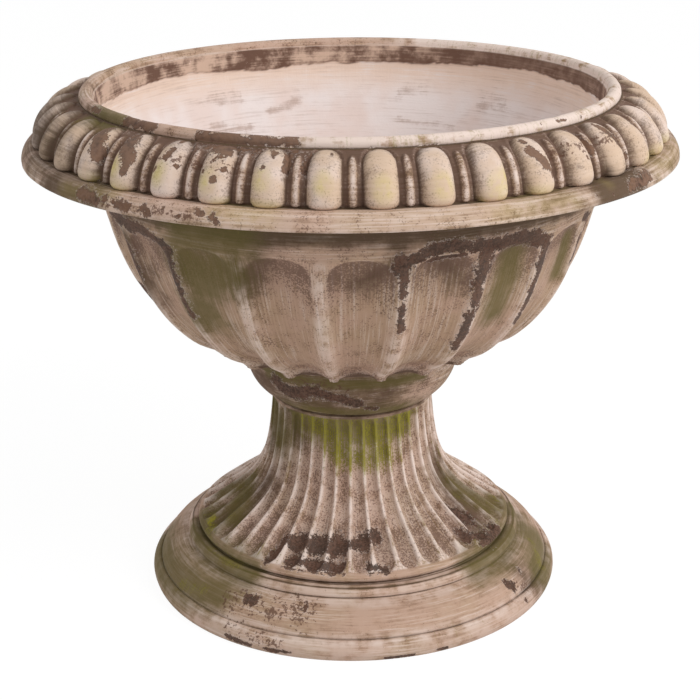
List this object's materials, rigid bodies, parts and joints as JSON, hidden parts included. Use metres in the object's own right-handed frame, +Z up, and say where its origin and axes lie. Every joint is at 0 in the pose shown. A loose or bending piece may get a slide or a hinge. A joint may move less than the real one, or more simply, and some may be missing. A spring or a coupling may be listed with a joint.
{
  "type": "pedestal urn planter",
  "caption": "Aged pedestal urn planter: an open fluted bowl with an egg-and-dart rim, bolted through its drained floor to a fluted trumpet-shaped pedestal.",
  "frame": {"origin": "centre of the foot's flat underside, on the ground", "axes": "+Z up along the axis that the urn is turned about; -Y is the front, the side nearest the viewer; +X is the viewer's right"},
  "size_m": [0.5, 0.5, 0.4074],
  "materials": {
    "aged_ceramic": "matte, dry-brushed over dark brown, flaked and mossy",
    "zinc_steel": "zinc plated, satin",
    "black_rubber": "matte"
  },
  "bodies": {
    "root": {"pedestal": "aged_ceramic", "bedding_ring": "black_rubber", "bowl": "aged_ceramic", "seal_washer": "black_rubber", "bowl_washer": "zinc_steel", "tie_bolt": "zinc_steel", "deck_washer": "zinc_steel", "spring_washer": "zinc_steel", "tie_nut": "zinc_steel"}
  },
  "joints": []
}
